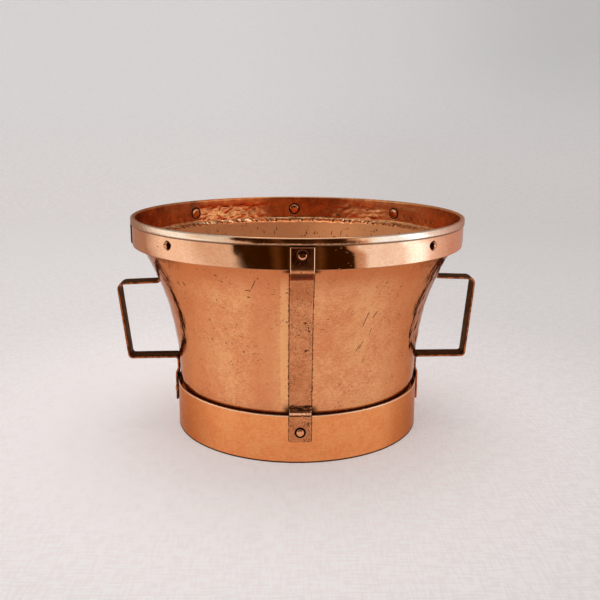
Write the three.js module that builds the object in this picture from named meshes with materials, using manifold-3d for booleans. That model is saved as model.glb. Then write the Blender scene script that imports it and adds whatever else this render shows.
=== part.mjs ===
// A coppersmith's flared vessel: a hammered wall whose top edge is folded over a rim hoop, a dished
// bottom lapped inside the wall, and a foot ring. Four flat straps tie the hoop to the foot ring, and
// the straps at the two sides are bent out into handles on the way down. Everything is riveted.
//
// Millimetres, +Z up. The origin is the centre of the foot ring on the surface it stands on, the
// handles point along +X and -X, and the front strap is on the -Y side.
import * as THREE from 'three';
import { mergeVertices } from 'three/addons/utils/BufferGeometryUtils.js';
import Module from 'manifold-3d';

const wasm = await Module();
wasm.setup();

// ---- Driving dimensions -------------------------------------------------------------------------

const HEIGHT = 262.3; // floor to the top of the folded lip
const FIT = 0.3; // clearance left between two pieces that touch
const TURNED_FACETS = 64; // facets round a turned piece, a multiple of 8 so that rivets meet corners

const SHEET = 1.4; // copper sheet of the wall and the bottom

const HOOP = { outer: 200.2, thickness: 2.2, bottom: 229.5 };
const LIP_BOTTOM = 254.8; // where the wall's folded edge ends, outside the hoop

const FOOT = { outer: 150.9, thickness: 2.4, top: 56.4, chamfer: 0.6 };

// Outside surface of the wall: a flare that is an arc curving away from the axis above the waist,
// and a round corner tucked in under the vessel below it.
const WAIST = { radius: 148.5, height: 75 };
const FLARE_RADIUS = 305;
const CORNER_RADIUS = 70;
const WALL_BOTTOM = 38; // height of the wall's lower edge, on the round corner
const LAP = 10; // height by which the bottom runs up inside the wall
const KNEE = { below: 1.5, above: 3.5, bend: 2 }; // crease between flare and collar, about HOOP.bottom

const STRAP = { width: 24.6, thickness: 2.8, top: 253.2, bottom: 26 };
const STRAP_MEETS_FLARE = 217.5; // height at which a strap lands on the wall below the hoop
const STRAP_LEAVES_WALL = 68; // height at which it steps out towards the foot ring
const STRAP_ON_FOOT = 61; // height at which that step ends
const STEP_BEND = 3; // centre-line bend radius of the steps

// Centre lines of the handles, which were bent by hand and differ: distance from the axis where it
// isn't the wall's own, height, and bend radius.
const HANDLES = {
  right: {
    topInner: { height: 184.1, bend: 4 },
    topOuter: { radius: 220.9, height: 182.7, bend: 6.5 },
    lowOuter: { radius: 212.2, height: 82.8, bend: 4.5 },
    lowInner: { height: 82.4, bend: 3.5 },
  },
  left: {
    topInner: { height: 178.5, bend: 4 },
    topOuter: { radius: 222.2, height: 176.3, bend: 7.5 },
    lowOuter: { radius: 211.2, height: 81.4, bend: 4.5 },
    lowInner: { height: 82.2, bend: 3.5 },
  },
};

const RIVET = { shank: 2.6, headHeight: 2, tail: 6.1, tailHeight: 1.1, facets: 12 };
const HEAD = { onHoop: 4.4, onStrap: 5.2 }; // radii of the rivets' heads
const RIM_RIVET_HEIGHT = 245;
const FOOT_RIVET_HEIGHT = 37.8;

// Turn about +Z that carries a piece built on the +X side to its side of the vessel.
const SIDES = { right: 0, back_right: 45, back: 90, back_left: 135 };
Object.assign(SIDES, { left: 180, front_left: 225, front: 270, front_right: 315 });
const STRAP_SIDES = ['front', 'right', 'back', 'left'];

// ---- Materials ----------------------------------------------------------------------------------

const copper = (color, roughness) =>
  new THREE.MeshStandardMaterial({ color, roughness, metalness: 1 });
const HAMMERED = copper(0xd48a5a, 0.38);
const POLISHED = copper(0xdc9566, 0.2);
const STRAP_METAL = copper(0xb87049, 0.35);
const RIVET_METAL = copper(0xc07a50, 0.3);

// ---- Outlines -----------------------------------------------------------------------------------

const at = (x, y) => new THREE.Vector2(x, y);

// Points along an arc about a centre, from one angle to another in degrees, ends included.
function arc(centre, radius, from, to, steps) {
  return Array.from({ length: steps + 1 }, (_, i) => {
    const angle = THREE.MathUtils.degToRad(from + ((to - from) * i) / steps);
    return at(centre.x + radius * Math.cos(angle), centre.y + radius * Math.sin(angle));
  });
}

// The corner between two straight runs, rounded to a bend radius.
function bend(before, corner, after, radius, steps = 4) {
  const back = before.clone().sub(corner).normalize();
  const ahead = after.clone().sub(corner).normalize();
  const half = Math.acos(THREE.MathUtils.clamp(back.dot(ahead), -1, 1)) / 2;
  const middle = back.clone().add(ahead).normalize();
  const centre = corner.clone().addScaledVector(middle, radius / Math.sin(half));
  const start = corner.clone().addScaledVector(back, radius / Math.tan(half)).sub(centre);
  const end = corner.clone().addScaledVector(ahead, radius / Math.tan(half)).sub(centre);
  const turn = Math.atan2(start.cross(end), start.dot(end));
  const origin = at(0, 0);
  return Array.from({ length: steps + 1 }, (_, i) =>
    start.clone().rotateAround(origin, (turn * i) / steps).add(centre),
  );
}

// A line of points whose entries may be { corner, bend }, with those corners rounded.
function bentLine(entries) {
  const place = (entry) => entry.corner ?? entry;
  return entries.flatMap((entry, i) =>
    entry.corner
      ? bend(place(entries[i - 1]), entry.corner, place(entries[i + 1]), entry.bend)
      : [entry],
  );
}

// The closed outline of a strip of even thickness about its centre line.
function thicken(line, thickness) {
  const heading = (a, b) => b.clone().sub(a).normalize();
  const edge = (side) =>
    line.map((point, i) => {
      const into = heading(line[Math.max(i - 1, 0)], line[Math.max(i, 1)]);
      const out = heading(line[Math.min(i, line.length - 2)], line[Math.min(i + 1, line.length - 1)]);
      const along = into.clone().add(out).normalize();
      const reach = (side * thickness) / 2 / along.dot(into);
      return at(point.x - along.y * reach, point.y + along.x * reach);
    });
  return [...edge(1), ...edge(-1).reverse()];
}

// ---- Solids -------------------------------------------------------------------------------------

// A piece turned about +Z from a closed outline of [distance from the axis, height].
function turned(outline, facets = TURNED_FACETS) {
  const ring = THREE.ShapeUtils.isClockWise(outline) ? [...outline].reverse() : outline;
  return new THREE.LatheGeometry([...ring, ring[0]], facets).rotateX(Math.PI / 2);
}

// A flat bar bent to an outline in the upright plane through +X, centred across its width.
function bar(outline, width) {
  const geometry = new THREE.ExtrudeGeometry(new THREE.Shape(outline), {
    depth: width,
    bevelEnabled: false,
  });
  return geometry.rotateX(Math.PI / 2).translate(0, width / 2, 0);
}

function toSolid(geometry) {
  const bare = new THREE.BufferGeometry();
  bare.setAttribute('position', geometry.getAttribute('position'));
  bare.setIndex(geometry.getIndex());
  const merged = mergeVertices(bare, 1e-4);
  return new wasm.Manifold(
    new wasm.Mesh({
      numProp: 3,
      vertProperties: merged.attributes.position.array,
      triVerts: new Uint32Array(merged.index.array),
    }),
  );
}

function toGeometry(solid) {
  const mesh = solid.getMesh();
  const geometry = new THREE.BufferGeometry();
  geometry.setAttribute('position', new THREE.BufferAttribute(mesh.vertProperties, 3));
  geometry.setIndex(new THREE.BufferAttribute(mesh.triVerts, 1));
  geometry.computeVertexNormals();
  return geometry;
}

// A piece with a rivet hole drilled along the radius at each of the given sides.
function drilled(geometry, height, sides) {
  const hole = (side) => {
    const drill = new THREE.CylinderGeometry(
      RIVET.shank + FIT,
      RIVET.shank + FIT,
      HOOP.outer,
      RIVET.facets,
    );
    drill.rotateZ(Math.PI / 2).translate(HOOP.outer, 0, height);
    return toSolid(drill.rotateZ(THREE.MathUtils.degToRad(SIDES[side])));
  };
  return toGeometry(sides.reduce((solid, side) => solid.subtract(hole(side)), toSolid(geometry)));
}

// ---- The wall's shape ---------------------------------------------------------------------------

const FLARE_CENTRE = at(WAIST.radius + FLARE_RADIUS, WAIST.height);
const CORNER_CENTRE = at(WAIST.radius - CORNER_RADIUS, WAIST.height);

// Lines that keep a distance outside the wall between two heights: on its flare, above the waist, or
// on its round corner, below it.
function alongFlare(distance, from, to, steps) {
  const radius = FLARE_RADIUS - distance;
  const angle = (height) =>
    180 - THREE.MathUtils.radToDeg(Math.asin((height - WAIST.height) / radius));
  return arc(FLARE_CENTRE, radius, angle(from), angle(to), steps);
}

function alongCorner(distance, from, to, steps) {
  const radius = CORNER_RADIUS + distance;
  const angle = (height) =>
    THREE.MathUtils.radToDeg(Math.asin(Math.max((height - WAIST.height) / radius, -1)));
  return arc(CORNER_CENTRE, radius, angle(from), angle(to), steps);
}

// ---- Sheet-metal pieces -------------------------------------------------------------------------

// Corner, flare, crease, upright collar, and the edge folded out and down over the hoop.
function vesselWall() {
  const collar = HOOP.outer - HOOP.thickness - FIT - SHEET / 2;
  const lip = HOOP.outer + FIT + SHEET / 2;
  const fold = at((collar + lip) / 2, HEIGHT - SHEET / 2 - (lip - collar) / 2);
  const flare = alongFlare(-SHEET / 2, WAIST.height, HOOP.bottom - KNEE.below, 7);
  const knee = at(collar, HOOP.bottom + KNEE.above);
  const line = [
    ...alongCorner(-SHEET / 2, WALL_BOTTOM, WAIST.height, 3).slice(0, -1),
    ...flare,
    ...bend(flare.at(-1), knee, at(collar, HEIGHT), KNEE.bend, 2),
    ...arc(fold, (lip - collar) / 2, 180, 0, 4),
    at(lip, LIP_BOTTOM),
  ];
  return drilled(turned(thicken(line, SHEET)), RIM_RIVET_HEIGHT, Object.keys(SIDES));
}

// A dish that nests inside the wall's round corner and runs up inside it by the lap.
function vesselBottom() {
  const outside = -(SHEET + FIT);
  const inside = outside - SHEET;
  const floor = CORNER_CENTRE.y - CORNER_RADIUS;
  const top = WALL_BOTTOM + LAP;
  const outline = [
    at(0, floor - outside),
    ...alongCorner(outside, 0, top, 5),
    ...alongCorner(inside, top, 0, 5),
    at(0, floor - inside),
  ];
  return turned(outline);
}

function rimHoop() {
  const inner = HOOP.outer - HOOP.thickness;
  const top = HEIGHT - SHEET - FIT - HOOP.thickness / 2;
  const outline = [
    at(inner, HOOP.bottom),
    at(HOOP.outer, HOOP.bottom),
    at(HOOP.outer, top),
    at(inner, top),
  ];
  return drilled(turned(outline), RIM_RIVET_HEIGHT, Object.keys(SIDES));
}

function footRing() {
  const inner = FOOT.outer - FOOT.thickness;
  const outline = [
    at(inner, 0),
    at(FOOT.outer, 0),
    at(FOOT.outer, FOOT.top - FOOT.chamfer),
    at(FOOT.outer - FOOT.chamfer, FOOT.top),
    at(inner, FOOT.top),
  ];
  return drilled(turned(outline), FOOT_RIVET_HEIGHT, STRAP_SIDES);
}

// ---- Straps -------------------------------------------------------------------------------------

const STRAP_OFFSET = FIT + STRAP.thickness / 2; // from a surface to the centre line of a strap on it

// Down the hoop, in under its lower edge and onto the flare.
function strapTop() {
  const onHoop = HOOP.outer + STRAP_OFFSET;
  return [
    at(onHoop, STRAP.top),
    { corner: at(onHoop, HOOP.bottom - KNEE.below), bend: STEP_BEND },
  ];
}

// Off the wall below the waist, out over the foot ring's top edge and down its outside.
function strapFoot() {
  const onFoot = FOOT.outer + STRAP_OFFSET;
  return [
    alongCorner(STRAP_OFFSET, STRAP_LEAVES_WALL, WAIST.height, 1)[0],
    { corner: at(onFoot, STRAP_ON_FOOT), bend: STEP_BEND },
    at(onFoot, STRAP.bottom),
  ];
}

function plainStrap() {
  return bentLine([
    ...strapTop(),
    ...alongFlare(STRAP_OFFSET, STRAP_MEETS_FLARE, WAIST.height, 8),
    ...strapFoot(),
  ]);
}

function handleStrap({ topInner, topOuter, lowOuter, lowInner }) {
  const onWall = (height) => alongFlare(STRAP_OFFSET, height, WAIST.height, 1)[0];
  return bentLine([
    ...strapTop(),
    ...alongFlare(STRAP_OFFSET, STRAP_MEETS_FLARE, topInner.height + 2 * topInner.bend, 2),
    { corner: onWall(topInner.height), bend: topInner.bend },
    { corner: at(topOuter.radius, topOuter.height), bend: topOuter.bend },
    { corner: at(lowOuter.radius, lowOuter.height), bend: lowOuter.bend },
    { corner: onWall(lowInner.height), bend: lowInner.bend },
    ...strapFoot(),
  ]);
}

// A strap bent along its centre line, with the holes for its two rivets.
function strap(line) {
  const blank = bar(thicken(line, STRAP.thickness), STRAP.width);
  const oneHole = drilled(blank, RIM_RIVET_HEIGHT, ['right']);
  return drilled(oneHole, FOOT_RIVET_HEIGHT, ['right']);
}

// ---- Rivets -------------------------------------------------------------------------------------

// A rivet along +X through metal between two distances from the axis: domed head outside, flat tail
// inside.
function rivet(inner, outer, head) {
  const { shank, headHeight, tail, tailHeight, facets } = RIVET;
  const sag = (tail * tail) / (2 * inner); // how far a flat tail stands off the round wall
  const under = outer + FIT;
  const seat = inner - FIT - sag;
  const outline = [
    at(0, seat - tailHeight),
    at(tail - 0.5, seat - tailHeight),
    at(tail, seat),
    at(shank, seat),
    at(shank, under),
    at(head, under),
    at(head * 0.85, under + headHeight * 0.55),
    at(head * 0.5, under + headHeight * 0.9),
    at(0, under + headHeight),
  ];
  return new THREE.LatheGeometry(outline, facets).rotateZ(-Math.PI / 2);
}

// ---- Assembly -----------------------------------------------------------------------------------

const vessel = new THREE.Group();

function add(name, geometry, material, { side = 'right', height = 0 } = {}) {
  const mesh = new THREE.Mesh(geometry, material);
  mesh.name = name;
  mesh.position.z = height;
  mesh.rotation.z = THREE.MathUtils.degToRad(SIDES[side]);
  vessel.add(mesh);
}

add('vessel_wall', vesselWall(), HAMMERED);
add('vessel_bottom', vesselBottom(), HAMMERED);
add('rim_hoop', rimHoop(), POLISHED);
add('foot_ring', footRing(), POLISHED);

for (const side of ['front', 'back'])
  add(`${side}_strap`, strap(plainStrap()), STRAP_METAL, { side });
for (const [side, line] of Object.entries(HANDLES))
  add(`${side}_handle_strap`, strap(handleStrap(line)), STRAP_METAL, { side });

const COLLAR_INNER = HOOP.outer - HOOP.thickness - FIT - SHEET;
const STRAP_STACK = FIT + STRAP.thickness; // what a strap adds to the metal a rivet goes through
for (const side of Object.keys(SIDES)) {
  const geometry = STRAP_SIDES.includes(side)
    ? rivet(COLLAR_INNER, HOOP.outer + STRAP_STACK, HEAD.onStrap)
    : rivet(COLLAR_INNER, HOOP.outer, HEAD.onHoop);
  add(`rim_rivet_${side}`, geometry, RIVET_METAL, { side, height: RIM_RIVET_HEIGHT });
}
for (const side of STRAP_SIDES) {
  const geometry = rivet(FOOT.outer - FOOT.thickness, FOOT.outer + STRAP_STACK, HEAD.onStrap);
  add(`foot_rivet_${side}`, geometry, RIVET_METAL, { side, height: FOOT_RIVET_HEIGHT });
}

export default vessel;
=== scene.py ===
"""A coppersmith's strapped bowl: the looks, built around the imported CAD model.

Metres, +Z up. The front strap is on the -Y side and the handles point along +X and -X.
"""

import math

import bpy
import numpy as np
from mathutils import Matrix, Vector, noise


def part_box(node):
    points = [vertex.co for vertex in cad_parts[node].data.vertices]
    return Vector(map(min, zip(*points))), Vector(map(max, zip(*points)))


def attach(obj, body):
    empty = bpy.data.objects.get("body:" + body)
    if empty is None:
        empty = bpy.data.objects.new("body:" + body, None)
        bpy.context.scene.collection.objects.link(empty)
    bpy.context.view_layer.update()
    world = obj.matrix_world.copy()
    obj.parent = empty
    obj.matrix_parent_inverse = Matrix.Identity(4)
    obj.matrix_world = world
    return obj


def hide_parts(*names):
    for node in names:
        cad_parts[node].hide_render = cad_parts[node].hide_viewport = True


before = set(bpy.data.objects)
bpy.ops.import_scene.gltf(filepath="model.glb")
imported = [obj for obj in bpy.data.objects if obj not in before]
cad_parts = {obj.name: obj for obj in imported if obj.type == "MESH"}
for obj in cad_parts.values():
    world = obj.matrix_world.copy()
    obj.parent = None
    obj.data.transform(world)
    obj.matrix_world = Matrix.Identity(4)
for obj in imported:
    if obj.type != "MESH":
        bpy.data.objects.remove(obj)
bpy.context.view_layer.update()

MM = 0.001

# ---- What the frame says ------------------------------------------------------------------------

WALL_LOW, WALL_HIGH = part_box("vessel_wall")
HOOP_LOW, HOOP_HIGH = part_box("rim_hoop")
FOOT_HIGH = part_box("foot_ring")[1]
STRAP_LOW, STRAP_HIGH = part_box("back_strap")
RIM_RIVET_LOW, RIM_RIVET_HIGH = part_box("rim_rivet_right")
FOOT_RIVET_LOW, FOOT_RIVET_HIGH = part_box("foot_rivet_right")

LIP_RADIUS = WALL_HIGH.x
TOP = WALL_HIGH.z
HOOP_RADIUS = HOOP_HIGH.x
HOOP_BOTTOM = HOOP_LOW.z
FOOT_RADIUS = FOOT_HIGH.x
FOOT_TOP = FOOT_HIGH.z
STRAP_WIDTH = STRAP_HIGH.x - STRAP_LOW.x
STRAP_THICKNESS = 2.8 * MM
STRAP_ON_HOOP = STRAP_HIGH.y - STRAP_THICKNESS / 2  # radius of a strap's centre line on the hoop
FIT = STRAP_HIGH.y - STRAP_THICKNESS - HOOP_RADIUS  # gap between two pieces that touch
STRAP_ON_FOOT = FOOT_RADIUS + FIT + STRAP_THICKNESS / 2
RIM_RIVET_HEIGHT = (RIM_RIVET_LOW.z + RIM_RIVET_HIGH.z) / 2
FOOT_RIVET_HEIGHT = (FOOT_RIVET_LOW.z + FOOT_RIVET_HIGH.z) / 2

# ---- Shapes that the CAD model has too, in this file's units ------------------------------------

SHEET = 1.4 * MM
HOOP_THICKNESS = 2.2 * MM
FOOT_THICKNESS = 2.4 * MM
LIP_BOTTOM = 254.8 * MM
WAIST_RADIUS = 148.5 * MM
WAIST_HEIGHT = 75 * MM
FLARE_RADIUS = 305 * MM
CORNER_RADIUS = 70 * MM
LAP = 10 * MM
COLLAR_OUTER = HOOP_RADIUS - HOOP_THICKNESS - FIT
COLLAR_INNER = COLLAR_OUTER - SHEET

SIDES = {
    "right": 0,
    "back_right": 45,
    "back": 90,
    "back_left": 135,
    "left": 180,
    "front_left": 225,
    "front": 270,
    "front_right": 315,
}


# ---- Outlines -----------------------------------------------------------------------------------


def arc(centre, radius, start, end, steps):
    """Points along an arc from one angle to another, in degrees, ends included."""
    angles = [math.radians(start + (end - start) * i / steps) for i in range(steps + 1)]
    x, y = centre
    return [Vector((x + radius * math.cos(a), y + radius * math.sin(a))) for a in angles]


def along_flare(distance, start, end, steps):
    """A line that keeps a distance outside the wall's flare, between two heights above the waist."""
    radius = FLARE_RADIUS - distance
    centre = (WAIST_RADIUS + FLARE_RADIUS, WAIST_HEIGHT)

    def angle(height):
        return 180 - math.degrees(math.asin((height - WAIST_HEIGHT) / radius))

    return arc(centre, radius, angle(start), angle(end), steps)


def along_corner(distance, start, end, steps):
    """The same outside the round corner under the vessel, between two heights below the waist."""
    radius = CORNER_RADIUS + distance
    centre = (WAIST_RADIUS - CORNER_RADIUS, WAIST_HEIGHT)

    def angle(height):
        return math.degrees(math.asin(max((height - WAIST_HEIGHT) / radius, -1)))

    return arc(centre, radius, angle(start), angle(end), steps)


def rounded(before, corner, after, radius, steps=6):
    """The corner between two straight runs, rounded to a bend radius."""
    back = (before - corner).normalized()
    ahead = (after - corner).normalized()
    half = back.angle(ahead) / 2
    centre = corner + (back + ahead).normalized() * (radius / math.sin(half))
    start = corner + back * (radius / math.tan(half)) - centre
    end = corner + ahead * (radius / math.tan(half)) - centre
    turn = start.angle_signed(end)
    return [centre + Matrix.Rotation(-turn * i / steps, 2) @ start for i in range(steps + 1)]


def bent_line(entries):
    """A line of points, in which an entry (corner, bend radius) is a rounded corner."""

    def place(entry):
        return entry[0] if isinstance(entry, tuple) else entry

    line = []
    for i, entry in enumerate(entries):
        if isinstance(entry, tuple):
            line += rounded(place(entries[i - 1]), entry[0], place(entries[i + 1]), entry[1])
        else:
            line.append(entry)
    return line


def evenly(line, spacing):
    """The same line, with points added so that none are further apart than the spacing."""
    points = [line[0]]
    for a, b in zip(line, line[1:]):
        steps = max(1, math.ceil((b - a).length / spacing))
        points += [a.lerp(b, (i + 1) / steps) for i in range(steps)]
    return points


def headings(line):
    """Unit direction of a line at each of its points."""
    ends = [line[0]] + list(line) + [line[-1]]
    return [(ends[i + 2] - ends[i]).normalized() for i in range(len(line))]


def thickened(line, thickness):
    """The two edges of a strip of even thickness about a line: on its left, then on its right."""
    sides = [Vector((-h.y, h.x)) * (thickness / 2) for h in headings(line)]
    left = [p + s for p, s in zip(line, sides)]
    right = [p - s for p, s in zip(line, sides)]
    return left, right


# ---- Meshes -------------------------------------------------------------------------------------


def make_piece(name, verts, faces, material, nodes, crease=40):
    """A smooth-shaded mesh that rides on the frame in place of its CAD nodes."""
    mesh = bpy.data.meshes.new(name)
    mesh.from_pydata([tuple(v) for v in verts], [], faces)
    mesh.update()
    mesh.shade_smooth()
    mesh.set_sharp_from_angle(angle=math.radians(crease))
    piece = bpy.data.objects.new(name, mesh)
    bpy.context.scene.collection.objects.link(piece)
    mesh.materials.append(material)
    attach(piece, "root")
    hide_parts(*nodes)


def grid_faces(rows, columns, wrap_rows, wrap_columns):
    """Quads over a grid of vertices numbered row by row."""
    faces = []
    for i in range(rows if wrap_rows else rows - 1):
        for j in range(columns if wrap_columns else columns - 1):
            a, b = i * columns + j, i * columns + (j + 1) % columns
            c = ((i + 1) % rows) * columns + (j + 1) % columns
            d = ((i + 1) % rows) * columns + j
            faces.append((a, d, c, b))
    return faces


def turned(outline, segments):
    """Vertices and faces of a closed outline of (radius, height) points turned about Z."""
    r = np.array([p[0] for p in outline])
    z = np.array([p[1] for p in outline])
    angle = np.arange(segments) * (2 * math.pi / segments)
    x = np.outer(np.cos(angle), r)
    y = np.outer(np.sin(angle), r)
    verts = np.stack([x, y, np.broadcast_to(z, x.shape)], -1).reshape(-1, 3)
    return verts, grid_faces(segments, len(outline), True, True)


def smooth_noise(points, size, seed=0):
    """Smooth noise from about -1 to 1, in lumps of about the given size."""
    shift = Vector((seed * 7.3, seed * 3.1, seed * 1.7))
    return np.array([noise.noise(Vector(p) / size + shift) for p in points])


def dimples(points, size, seed=0):
    """Hammer marks: 1 at the middle of each mark, falling to 0 between them."""
    shift = Vector((seed * 5.9, seed * 2.3, seed * 4.1))
    nearest = np.array([noise.voronoi(Vector(p) / size + shift)[0][0] for p in points])
    return np.clip(1 - (nearest / 0.7) ** 2, 0, 1)


def between(value, low, high):
    """0 below low, 1 above high, and a smooth step between."""
    t = np.clip((value - low) / (high - low), 0, 1)
    return t * t * (3 - 2 * t)


def push_radially(verts, amount):
    """Moves vertices away from the Z axis by an amount each."""
    radius = np.maximum(np.hypot(verts[:, 0], verts[:, 1]), 1e-6)
    verts[:, 0] += verts[:, 0] / radius * amount
    verts[:, 1] += verts[:, 1] / radius * amount


# ---- Materials ----------------------------------------------------------------------------------


class Shader:
    """A material's node tree. Its methods add nodes and return an output socket."""

    def __init__(self, name):
        self.material = bpy.data.materials.new(name)
        self.material.use_nodes = True
        self.tree = self.material.node_tree
        self.surface = self.tree.nodes["Principled BSDF"]
        self.place = self.tree.nodes.new("ShaderNodeTexCoord").outputs["Object"]
        parts = self.tree.nodes.new("ShaderNodeSeparateXYZ")
        self.feed(parts.inputs[0], self.place)
        self.x, self.y, self.z = parts.outputs
        self.turn = self.math("ARCTAN2", self.y, self.x)
        self.radius = self.length(self.x, self.y)

    def add(self, kind, inputs, output=0, **settings):
        node = self.tree.nodes.new("ShaderNode" + kind)
        for key, value in settings.items():
            setattr(node, key, value)
        for key, value in inputs.items():
            self.feed(node.inputs[key], value)
        return node.outputs[output]

    def feed(self, socket, value):
        if isinstance(value, bpy.types.NodeSocket):
            self.tree.links.new(value, socket)
        else:
            socket.default_value = value

    def math(self, operation, a, b=0.0, c=0.0):
        return self.add("Math", {0: a, 1: b, 2: c}, operation=operation)

    def length(self, a, b):
        return self.math("SQRT", self.math("ADD", self.times(a, a), self.times(b, b)))

    def times(self, first, *others):
        for other in others:
            first = self.math("MULTIPLY", first, other)
        return first

    def most(self, first, *others):
        for other in others:
            first = self.math("MAXIMUM", first, other)
        return first

    def stretched(self, scale):
        """The object's coordinates, scaled per axis, so that textures come out stretched."""
        return self.add("Mapping", {"Vector": self.place, "Scale": scale})

    def noise(self, size, detail=3.0, place=None, distortion=0.0):
        inputs = {"Vector": place or self.place, "Scale": 1 / size, "Detail": detail}
        inputs["Distortion"] = distortion
        return self.add("TexNoise", inputs)

    def step(self, value, low, high, to_low=0.0, to_high=1.0):
        """value from low to high becomes to_low to to_high, smoothly and clamped."""
        inputs = {"Value": value, "From Min": low, "From Max": high}
        inputs.update({"To Min": to_low, "To Max": to_high})
        return self.add("MapRange", inputs, interpolation_type="SMOOTHSTEP")

    def fall(self, value, low, high):
        """1 below low, 0 above high, and a smooth step between."""
        return self.step(value, low, high, 1.0, 0.0)

    def band(self, value, low, high, soft):
        """1 from low to high, with soft edges."""
        rise = self.step(value, low - soft, low + soft)
        return self.times(rise, self.fall(value, high - soft, high + soft))

    def uneven(self, value, size, reach, detail=2):
        """A value that noise shifts by up to half the reach, so that a mask of it has a ragged edge."""
        shift = self.times(self.math("SUBTRACT", self.noise(size, detail), 0.5), reach)
        return self.math("ADD", value, shift)

    def mix(self, factor, a, b):
        node = self.tree.nodes.new("ShaderNodeMix")
        node.data_type = "RGBA"
        for key, value in ((0, factor), (6, a), (7, b)):
            self.feed(node.inputs[key], value)
        return node.outputs[2]

    def bump(self, height, depth, strength=1.0, normal=None):
        inputs = {"Height": height, "Distance": depth, "Strength": strength}
        if normal is not None:
            inputs["Normal"] = normal
        return self.add("Bump", inputs)

    def outward(self):
        """1 on surfaces that face away from the vessel's axis, 0 on those that face it."""
        normal = self.add("NewGeometry", {}, output="Normal")
        flat = self.add("VectorMath", {0: self.place, 1: (1.0, 1.0, 0.0)}, operation="MULTIPLY")
        facing = self.add("VectorMath", {0: flat, 1: normal}, output="Value", operation="DOT_PRODUCT")
        return self.step(facing, -0.005, 0.005)

    def sideways(self, spacing):
        """Distance round the vessel from the nearest of the lines spaced by that many degrees."""
        half = math.radians(spacing / 2)
        return self.times(self.math("WRAP", self.turn, half, -half), self.radius)

    def from_rivet(self, spacing, height):
        across = self.sideways(spacing)
        up = self.math("SUBTRACT", self.z, height)
        return self.length(across, up)

    def dash(self, azimuth, height, length, tilt, width):
        """A short straight mark at an azimuth from the front, tilted from level; all in mm and degrees."""
        turn = self.math("SUBTRACT", self.turn, math.radians(azimuth - 90))
        u = self.times(self.math("WRAP", turn, math.pi, -math.pi), self.radius)
        v = self.math("SUBTRACT", self.z, height * MM)
        c, s = math.cos(math.radians(tilt)), math.sin(math.radians(tilt))
        along = self.math("ABSOLUTE", self.math("ADD", self.times(u, c), self.times(v, s)))
        aside = self.math("ABSOLUTE", self.math("SUBTRACT", self.times(v, c), self.times(u, s)))
        inside = self.fall(along, length * 0.3 * MM, length * 0.55 * MM)
        return self.times(inside, self.fall(aside, width * 0.2 * MM, width * 0.7 * MM))

    def clouded(self, bright, dull, size=50 * MM):
        """Tarnish clouds over blotches over hammered grain over fine brushing."""
        cloud = self.times(self.noise(size, 3), 0.3)
        blotch = self.times(self.noise(size / 4, 4), 0.15)
        grain = self.times(self.noise(2.8 * MM, 3), 0.25)
        brushed = self.times(self.noise(1.5 * MM, 3, place=self.stretched((0.35, 0.35, 1.0))), 0.3)
        total = self.math("ADD", self.math("ADD", cloud, blotch), self.math("ADD", grain, brushed))
        return self.mix(self.step(total, 0.4, 0.6), bright, dull)

    def pits(self, size, rarity=0.66, place=None):
        """Small irregular pits, gathered in groups."""
        speck = self.noise(size, 2, place=place, distortion=0.8)
        group = self.step(self.noise(26 * MM, 2), 0.4, 0.62, rarity + 0.1, rarity)
        return self.step(self.math("SUBTRACT", speck, group), 0.0, 0.035)

    def finish(self, **values):
        for key, value in values.items():
            self.feed(self.surface.inputs[key.replace("_", " ")], value)
        return self.material


def rgb(red, green, blue):
    """A colour given as sRGB bytes, as linear RGBA."""
    share = [c / 255 for c in (red, green, blue)]
    return (*[c / 12.92 if c <= 0.04 else ((c + 0.055) / 1.055) ** 2.4 for c in share], 1.0)


# Dark brown for grime, and also for painted shade in gaps, under edges and along the floor
GRIME_AND_SHADE = rgb(46, 20, 12)
BLACK_GRIME = rgb(22, 10, 6)
HALF_STRAP = STRAP_WIDTH / 2


# Marks in the wall, outside and in: azimuth from the front in degrees, height in mm, length in mm, tilt
# from level in degrees, and width in mm.
SCRATCHES = (
    (25.9, 165, 20, 75, 1.2), (29.8, 169.5, 10, 58, 1.3), (29.2, 149, 9, 80, 0.8), (25.6, 134, 13, 65, 1.0),
    (24.2, 131, 10, 62, 1.0), (27.6, 115, 6, 75, 0.8), (-16.2, 209, 14, 60, 0.9), (-18.5, 202, 8, 10, 0.8),
    (-46.7, 198.8, 5, 115, 1.8), (-50.4, 198, 6, 120, 1.6), (-18.6, 194, 4, 0, 1.6),
    (-38.3, 160, 3, 130, 1.6), (-29.5, 216.5, 4, 150, 1.4),
)
SLASHES_IN_COLLAR = ((-112.8, 256.8, 6, 75, 1.7), (-115.3, 256.3, 6, 75, 1.7), (172, 259, 6, 80, 1.2))
CRACK_IN_COLLAR = ((-150, 250.6, 15, 6, 1.3), (-156, 252, 15, -6, 1.3), (-161.5, 249.5, 12, -22, 1.3))
RUNS_ON_FLARE = (
    (-170.7, 212.5, 6, 92, 1.3), (-165.8, 213.5, 5, 88, 1.3), (-171.8, 217, 6, 85, 1.3),
    (174.4, 212, 5, 90, 1.6), (170.5, 212, 5, 92, 1.6), (162.6, 212.5, 6, 90, 1.2),
    (158.1, 213, 8, 90, 1.2), (-163, 219, 5, 95, 1.3),
)
PUNCH_MARKS = (
    (129.6, 242, 6, 70, 1.8), (125.7, 240.5, 6, 65, 2.2), (121.5, 239.7, 6, 70, 2.0),
    (117, 239.8, 6, 65, 2.2), (113.5, 240.8, 6, 70, 1.8), (110.4, 242.4, 6, 75, 1.6),
)
MARKS = SCRATCHES + SLASHES_IN_COLLAR + CRACK_IN_COLLAR + RUNS_ON_FLARE + PUNCH_MARKS


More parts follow.
